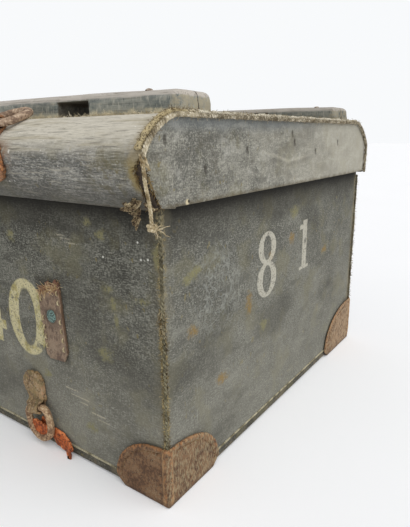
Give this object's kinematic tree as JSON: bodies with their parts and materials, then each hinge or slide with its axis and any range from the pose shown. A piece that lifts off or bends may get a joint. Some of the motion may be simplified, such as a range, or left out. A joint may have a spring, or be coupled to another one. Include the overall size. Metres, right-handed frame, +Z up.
{
  "type": "military trunk",
  "caption": "Canvas-covered wooden trunk with a deep hinged lid, rolled lid edges, wooden battens, leather corner caps and folded leather chapes that hold iron lashing rings.",
  "frame": {"origin": "on the floor, under the middle of the whole trunk with its lid and hinges", "axes": "+X along the trunk to its right end, -Y out of the front, +Z up"},
  "size_m": [0.827, 0.517, 0.371],
  "materials": {
    "board": "bare aged softwood boards",
    "canvas": "coated dark grey-olive canvas, dusty and stained",
    "lid_canvas": "coated grey canvas, dusty beige on top, worn along the edges",
    "batten": "grey painted wood, worn pale along the edges",
    "cord": "twisted ochre cord, frayed",
    "cap_leather": "red-brown leather, dry and scuffed, stitched rim",
    "strap_leather": "brown strap leather, dry, stitched",
    "remnant_leather": "orange torn leather",
    "iron": "rusted forged iron with a pale crust",
    "copper": "copper alloy with verdigris"
  },
  "bodies": {
    "trunk": {"bottom_board": "board", "front_board": "board", "back_board": "board", "left_end_board": "board", "right_end_board": "board", "body_canvas": "canvas", "bottom_canvas": "canvas", "bottom_welt": "cord", "corner_seam_front_left": "cord", "corner_seam_front_right": "cord", "corner_seam_back_left": "cord", "corner_seam_back_right": "cord", "corner_cap_front_left": "cap_leather", "corner_cap_front_right": "cap_leather", "corner_cap_back_left": "cap_leather", "corner_cap_back_right": "cap_leather", "strap_tab_left": "strap_leather", "strap_tab_right": "strap_leather", "tab_rivet_left": "copper", "tab_rivet_right": "copper", "ring_chape_left": "strap_leather", "ring_chape_right": "strap_leather", "hinge_body_leaf_left": "iron", "hinge_body_leaf_right": "iron", "hinge_pin_left": "iron", "hinge_pin_right": "iron"},
    "lid": {"lid_top_board": "board", "lid_front_rail": "board", "lid_back_rail": "board", "lid_end_board_left": "board", "lid_end_board_right": "board", "lid_canvas": "lid_canvas", "lid_end_canvas_left": "lid_canvas", "lid_end_canvas_right": "lid_canvas", "lid_piping_left": "cord", "lid_piping_right": "cord", "loose_cord": "cord", "front_batten": "batten", "back_batten": "batten", "lid_chape_left": "strap_leather", "lid_chape_right": "strap_leather", "hinge_lid_leaf_left": "iron", "hinge_lid_leaf_right": "iron"},
    "body_ring_left": {"body_ring_left": "iron"},
    "body_ring_right": {"body_ring_right": "iron", "strap_remnant": "remnant_leather"},
    "lid_ring_left": {"lid_ring_left": "iron"},
    "lid_ring_right": {"lid_ring_right": "iron"}
  },
  "joints": [
    {"name": "lid_hinge", "type": "hinge", "parent": "trunk", "child": "lid", "pos_m": [0, 0.2516, 0.27], "axis": [-1, 0, 0], "range_deg": [0, 105]},
    {"name": "body_ring_left_swing", "type": "hinge", "parent": "trunk", "child": "body_ring_left", "pos_m": [-0.22, -0.2326, 0.045], "axis": [-0.9703, 0, 0.2419], "range_deg": [0, 110]},
    {"name": "body_ring_right_swing", "type": "hinge", "parent": "trunk", "child": "body_ring_right", "pos_m": [0.22, -0.2326, 0.045], "axis": [-0.9703, 0, -0.2419], "range_deg": [0, 110]},
    {"name": "lid_ring_left_swing", "type": "hinge", "parent": "lid", "child": "lid_ring_left", "pos_m": [-0.214, -0.2395, 0.34558], "axis": [1, 0, 0], "range_deg": [0, 150]},
    {"name": "lid_ring_right_swing", "type": "hinge", "parent": "lid", "child": "lid_ring_right", "pos_m": [0.214, -0.2395, 0.34558], "axis": [1, 0, 0], "range_deg": [0, 150]}
  ]
}
